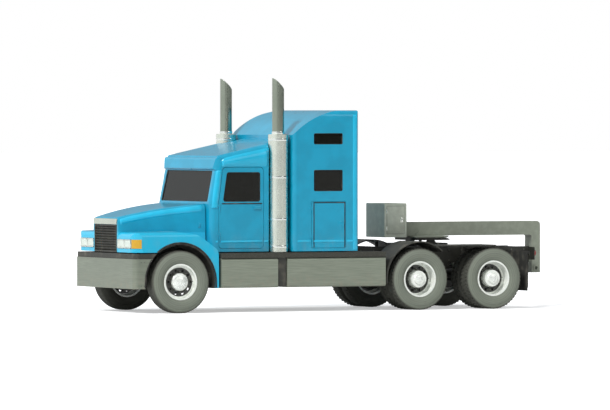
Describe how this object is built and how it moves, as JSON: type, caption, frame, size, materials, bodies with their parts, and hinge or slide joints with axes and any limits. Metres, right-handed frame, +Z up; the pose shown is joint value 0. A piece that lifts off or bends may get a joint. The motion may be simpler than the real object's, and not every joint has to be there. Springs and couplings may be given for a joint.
{
  "type": "semi truck tractor unit",
  "caption": "Long-nose road tractor with sleeper cab, upright exhaust stacks, tandem drive wheels and a towing neck on its fifth wheel.",
  "frame": {"origin": "on the ground under the centre of the truck's overall box", "axes": "+X to the rear, +Y to the passenger's side, +Z up; the truck faces -X"},
  "size_m": [8.16, 2.4264, 3.9049],
  "materials": {
    "frame_black": "satin chassis paint",
    "engine_grey": "painted castings",
    "radiator_black": "matt black core",
    "bumper_grey": "semi-gloss grey",
    "trim_black": "matt black moulding",
    "rubber_black": "plain rubber",
    "body_blue": "gloss coach paint",
    "window_glass": "dark tinted glass",
    "dash_plastic": "soft-touch plastic",
    "seat_fabric": "woven cloth",
    "bunk_fabric": "quilted cloth",
    "stack_chrome": "bright chrome",
    "lamp_clear": "clear lens",
    "lamp_amber": "amber lens",
    "lamp_red": "red lens",
    "coupling_steel": "greased steel",
    "neck_grey": "satin grey paint",
    "box_grey": "satin grey paint",
    "tyre_rubber": "matt rubber",
    "rim_white": "gloss off-white paint"
  },
  "bodies": {
    "chassis": {"frame_rails": "frame_black", "crossmembers": "frame_black", "front_axle": "frame_black", "springs": "frame_black", "rear_axles": "frame_black", "propshafts": "frame_black", "engine_and_gearbox": "engine_grey", "radiator": "radiator_black", "bumper": "bumper_grey", "bumper_strip": "trim_black", "cab_mounts": "rubber_black", "cab_shell": "body_blue", "sleeper_shell": "body_blue", "fixed_glass": "window_glass", "visor": "body_blue", "dashboard": "dash_plastic", "steering_wheel": "dash_plastic", "seats": "seat_fabric", "bunk": "bunk_fabric", "stack_shields": "stack_chrome", "stack_pipes": "stack_chrome", "exhaust_links": "trim_black", "fuel_tanks": "bumper_grey", "step_boxes": "bumper_grey", "side_treads": "trim_black", "rear_wings": "trim_black", "mud_flaps": "rubber_black", "tail_lamps": "lamp_red", "fifth_wheel": "coupling_steel"},
    "hood": {"hood_shell": "body_blue", "arch_liners": "trim_black", "grille": "trim_black", "grille_bar": "stack_chrome", "headlamps": "lamp_clear", "turn_lamps": "lamp_amber"},
    "tie_rod": {"tie_rod": "frame_black"},
    "neck": {"neck_beam": "neck_grey", "neck_box": "box_grey"},
    "door_left": {"door_left": "body_blue", "door_glass_left": "window_glass"},
    "locker_left": {"locker_door_left": "body_blue"},
    "knuckle_left": {"knuckle_left": "frame_black"},
    "front_wheel_left": {"front_tyre_left": "tyre_rubber", "front_rim_left": "rim_white"},
    "drive_wheel_1_left": {"drive_tyres_1_left": "tyre_rubber", "drive_rims_1_left": "rim_white"},
    "drive_wheel_2_left": {"drive_tyres_2_left": "tyre_rubber", "drive_rims_2_left": "rim_white"},
    "door_right": {"door_right": "body_blue", "door_glass_right": "window_glass"},
    "locker_right": {"locker_door_right": "body_blue"},
    "knuckle_right": {"knuckle_right": "frame_black"},
    "front_wheel_right": {"front_tyre_right": "tyre_rubber", "front_rim_right": "rim_white"},
    "drive_wheel_1_right": {"drive_tyres_1_right": "tyre_rubber", "drive_rims_1_right": "rim_white"},
    "drive_wheel_2_right": {"drive_tyres_2_right": "tyre_rubber", "drive_rims_2_right": "rim_white"}
  },
  "joints": [
    {"name": "hood_tilt", "type": "hinge", "parent": "chassis", "child": "hood", "pos_m": [-3.99, 0, 0.7], "axis": [0, -1, 0], "range_deg": [0, 65]},
    {"name": "door_left_swing", "type": "hinge", "parent": "chassis", "child": "door_left", "pos_m": [-2.452, -1.05, 1.06], "axis": [0, 0, -1], "range_deg": [0, 70]},
    {"name": "locker_left_swing", "type": "hinge", "parent": "chassis", "child": "locker_left", "pos_m": [-0.81, -1.2, 1.06], "axis": [0, 0, -1], "range_deg": [0, 85]},
    {"name": "door_right_swing", "type": "hinge", "parent": "chassis", "child": "door_right", "pos_m": [-2.452, 1.05, 1.06], "axis": [0, 0, 1], "range_deg": [0, 70]},
    {"name": "locker_right_swing", "type": "hinge", "parent": "chassis", "child": "locker_right", "pos_m": [-0.81, 1.2, 1.06], "axis": [0, 0, 1], "range_deg": [0, 85]},
    {"name": "steer_left", "type": "hinge", "parent": "chassis", "child": "knuckle_left", "pos_m": [-3.23, -0.87, 0.52], "axis": [0, 0, 1], "range_deg": [-35, 35]},
    {"name": "front_wheel_left_spin", "type": "hinge", "parent": "knuckle_left", "child": "front_wheel_left", "pos_m": [-3.23, -1.07, 0.52], "axis": [0, 1, 0], "continuous": true},
    {"name": "drive_wheel_1_left_spin", "type": "hinge", "parent": "chassis", "child": "drive_wheel_1_left", "pos_m": [1.22, -0.9, 0.52], "axis": [0, 1, 0], "continuous": true},
    {"name": "drive_wheel_2_left_spin", "type": "hinge", "parent": "chassis", "child": "drive_wheel_2_left", "pos_m": [2.62, -0.9, 0.52], "axis": [0, 1, 0], "continuous": true},
    {"name": "steer_right", "type": "hinge", "parent": "chassis", "child": "knuckle_right", "pos_m": [-3.23, 0.87, 0.52], "axis": [0, 0, 1], "range_deg": [-35, 35]},
    {"name": "front_wheel_right_spin", "type": "hinge", "parent": "knuckle_right", "child": "front_wheel_right", "pos_m": [-3.23, 1.07, 0.52], "axis": [0, 1, 0], "continuous": true},
    {"name": "drive_wheel_1_right_spin", "type": "hinge", "parent": "chassis", "child": "drive_wheel_1_right", "pos_m": [1.22, 0.9, 0.52], "axis": [0, 1, 0], "continuous": true},
    {"name": "drive_wheel_2_right_spin", "type": "hinge", "parent": "chassis", "child": "drive_wheel_2_right", "pos_m": [2.62, 0.9, 0.52], "axis": [0, 1, 0], "continuous": true},
    {"name": "tie_rod_pivot", "type": "hinge", "parent": "knuckle_left", "child": "tie_rod", "pos_m": [-3.03, -0.87, 0.395], "axis": [0, 0, 1], "range_deg": [-35, 35]},
    {"name": "neck_swing", "type": "hinge", "parent": "chassis", "child": "neck", "pos_m": [1.83, 0, 1.206], "axis": [0, 0, 1], "range_deg": [-90, 90]}
  ],
  "couplings": [
    {"joint": "steer_right", "follows": "steer_left", "ratio": 1},
    {"joint": "tie_rod_pivot", "follows": "steer_left", "ratio": -1}
  ]
}
